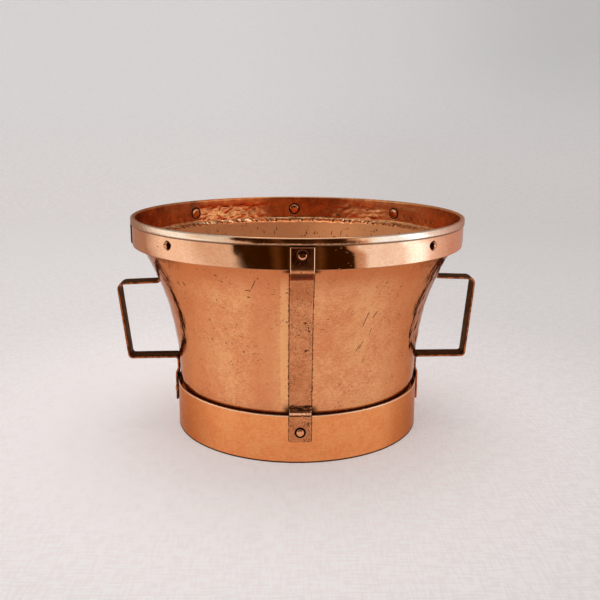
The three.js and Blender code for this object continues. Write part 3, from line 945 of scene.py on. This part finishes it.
make_wall()
make_bottom()
make_hoop()
make_foot()
for side in ("front", "back"):
    make_strap(side, plain_strap_line(), STRAP, f"{side}_strap")
for side, corners in HANDLES.items():
    make_strap(side, handle_strap_line(corners), HANDLE, f"{side}_handle_strap")
STRAP_SIDES = ("front", "right", "back", "left")
for side in SIDES:
    strapped = side in STRAP_SIDES
    outer = STRAP_HIGH.y if strapped else HOOP_RADIUS
    make_rivet(f"rim_rivet_head_{side}", side, RIM_RIVET_HEIGHT, COLLAR_INNER, outer, strapped,
               f"rim_rivet_{side}")
for side in STRAP_SIDES:
    make_rivet(f"foot_rivet_head_{side}", side, FOOT_RIVET_HEIGHT, FOOT_RADIUS - FOOT_THICKNESS,
               STRAP_ON_FOOT + STRAP_THICKNESS / 2, True, f"foot_rivet_{side}")

# ---- Stage, lights and camera -------------------------------------------------------------------

CAMERA_PLACE = Vector((-0.0249, -0.9840, 0.3823))
CAMERA_TURN = -1.65  # degrees from looking along +Y, positive to the left
CAMERA_DOWN = 13.13  # degrees below level
CAMERA_ROLL = 0.27  # degrees about its line of sight
SENSOR_WIDTH = 36  # mm
FOCAL_LENGTH = 48.096  # mm
BLACK = (0, 0, 0, 1)


def make_camera():
    data = bpy.data.cameras.new("camera")
    data.sensor_width = SENSOR_WIDTH
    data.lens = FOCAL_LENGTH
    camera = bpy.data.objects.new("camera", data)
    heading = Matrix.Rotation(math.radians(CAMERA_TURN), 4, "Z")
    tilt = Matrix.Rotation(math.radians(90 - CAMERA_DOWN), 4, "X")
    roll = Matrix.Rotation(math.radians(CAMERA_ROLL), 4, "Z")
    camera.matrix_world = Matrix.Translation(CAMERA_PLACE) @ heading @ tilt @ roll
    bpy.context.scene.collection.objects.link(camera)
    bpy.context.scene.camera = camera


def stage_lathe(name, outline, segments, material):
    """An open surface of (radius, height) points turned about Z, as part of the stage."""
    verts, _ = turned(outline, segments)
    faces = grid_faces(segments, len(outline), True, False)
    mesh = bpy.data.meshes.new(name)
    mesh.from_pydata([tuple(v) for v in verts], [], [tuple(reversed(f)) for f in faces])
    mesh.shade_smooth()
    mesh.materials.append(material)
    surface = bpy.data.objects.new(name, mesh)
    bpy.context.scene.collection.objects.link(surface)
    return surface


def make_sweep():
    """A pale round linen floor that curves up into a wall all round. It glows a little, most near the
    vessel, which keeps the shadow there soft."""
    s = Shader("pale_linen")
    weave = s.math("ADD", s.noise(3 * MM, 2, place=s.stretched((0.15, 1, 1))),
                   s.noise(3 * MM, 2, place=s.stretched((1, 0.15, 1))))
    colour = s.mix(s.step(weave, 0.85, 1.15), rgb(234, 229, 228), rgb(227, 221, 220))
    # Painted shade, darker towards the right
    colour = s.mix(s.step(s.x, -0.3, 0.6, 0.0, 0.11), colour, BLACK)
    colour = s.mix(s.step(s.z, 0.05, 0.6), colour, s.mix(0.5, colour, rgb(226, 230, 230)))
    # Painted shade in the upper right corner
    corner = s.times(s.step(s.x, 0.4, 1.3), s.step(s.z, 0.1, 0.7), 0.17)
    colour = s.mix(corner, colour, BLACK)
    s.finish(Base_Color=colour, Roughness=0.95, Specular_IOR_Level=0.1,
             Emission_Color=colour, Emission_Strength=s.step(s.radius, 0.15, 0.7, 0.38, 0.2))
    flat, bend, height = 1.9, 1.0, 1.6
    outline = [(0.001, 0), (0.6, 0), (1.2, 0)] + [tuple(p) for p in arc((flat, bend), bend, -90, 0, 16)]
    stage_lathe("sweep", outline + [(flat + bend, height)], 96, s.material)


def make_reflected_room():
    """What the polished hoop mirrors: a ring that only shows in reflections, dark behind the camera and
    bright at both sides of it."""
    s = Shader("reflected_room")
    turn = s.math("ARCTAN2", s.x, s.times(s.y, -1.0))
    degree = math.radians(1)

    # The dark part's left edge leans in at the bottom, and its right edge steps out at the top
    lean = s.times(s.step(s.z, 0.045, 0.09, -12 * degree, 0.0), s.fall(turn, -20 * degree, -10 * degree))
    shoulder = s.times(s.step(s.z, 0.095, 0.115, 0.0, 6 * degree), s.step(turn, 10 * degree, 20 * degree))
    turn = s.math("ADD", turn, s.math("ADD", lean, shoulder))
    ramp = s.tree.nodes.new("ShaderNodeValToRGB")
    s.feed(ramp.inputs[0], s.math("MULTIPLY_ADD", turn, 0.5 / math.pi, 0.5))

    # Each stop is a direction in degrees from the front, positive to the right, and the colour there
    dark = (0.03, 0.01, 0.0)
    brown = (0.1, 0.042, 0.012)
    stops = [
        (-180, (0.43, 0.31, 0.26)),
        (-118, (0.42, 0.3, 0.25)),
        (-96, (1.0, 0.99, 0.98)),
        (-76, (1.0, 0.99, 0.98)),
        (-62, (0.76, 0.66, 0.58)),
        (-41.2, (0.72, 0.62, 0.54)),
        (-40, dark),
        (-18, dark),
        (-13, brown),
        (-9, dark),
        (7, dark),
        (11, brown),
        (16, dark),
        (33, dark),
        (34, (0.5, 0.33, 0.23)),
        (39, (0.62, 0.45, 0.35)),
        (42, (0.95, 1.02, 1.1)),
        (66, (1.0, 1.08, 1.18)),
        (73, (1.4, 1.8, 2.2)),
        (80, (1.4, 1.8, 2.2)),
        (90, (0.95, 0.92, 0.98)),
        (112, (0.64, 0.47, 0.46)),
        (180, (0.43, 0.31, 0.26)),
    ]
    elements = ramp.color_ramp.elements
    for index, (angle, colour) in enumerate(stops):
        share = (angle + 180) / 360
        if index < 2:
            elements[index].position = share
        else:
            elements.new(share)
        elements[index].color = (*colour, 1)

    # The bright sides fade towards the top
    from_dark = s.math("ABSOLUTE", s.math("ADD", turn, 4.5 * degree))
    fading = s.times(s.step(from_dark, 36 * degree, 44 * degree), s.step(s.z, 0.5, 0.75))
    glow = s.mix(fading, ramp.outputs[0], (0.42, 0.41, 0.4, 1))
    s.finish(Base_Color=BLACK, Roughness=1.0, Specular_IOR_Level=0.0,
             Emission_Color=glow, Emission_Strength=1.0)
    ring = stage_lathe("reflected_room", [(1.05, 0.0), (1.05, 0.4), (1.05, 0.8)], 180, s.material)
    ring.visible_camera = False
    ring.visible_diffuse = False
    ring.visible_shadow = False


def make_light(name, place, target, size, power, glossy=True, diffuse=True):
    data = bpy.data.lights.new(name, "AREA")
    data.shape = "RECTANGLE"
    data.size, data.size_y = size
    data.energy = power
    light = bpy.data.objects.new(name, data)
    light.location = place
    light.rotation_euler = (Vector(target) - Vector(place)).to_track_quat("-Z", "Y").to_euler()
    light.visible_camera = False
    light.visible_glossy = glossy
    light.visible_diffuse = diffuse
    bpy.context.scene.collection.objects.link(light)


def make_world():
    world = bpy.data.worlds.new("world")
    bpy.context.scene.world = world
    world.use_nodes = True
    background = world.node_tree.nodes["Background"]
    background.inputs["Color"].default_value = (1.0, 0.985, 0.97, 1)
    background.inputs["Strength"].default_value = 0.42
    bpy.context.scene.view_settings.view_transform = "Standard"


make_world()
make_camera()
make_sweep()
make_reflected_room()
make_light("overhead", (0, 0.5, 2.3), (0, 0.3, 0), (1.4, 1.4), 9)
make_light("ceiling", (0, 0, 3.0), (0, 0, 0), (4, 4), 13, glossy=False)
make_light("front", (-1.1, -1.8, 1.7), (-0.1, -0.1, 0), (1.2, 1.0), 5, glossy=False)
make_light("high_card", (-0.9, -1.2, 1.6), (0, 0.15, 0.22), (1.4, 0.9), 0.55, diffuse=False)
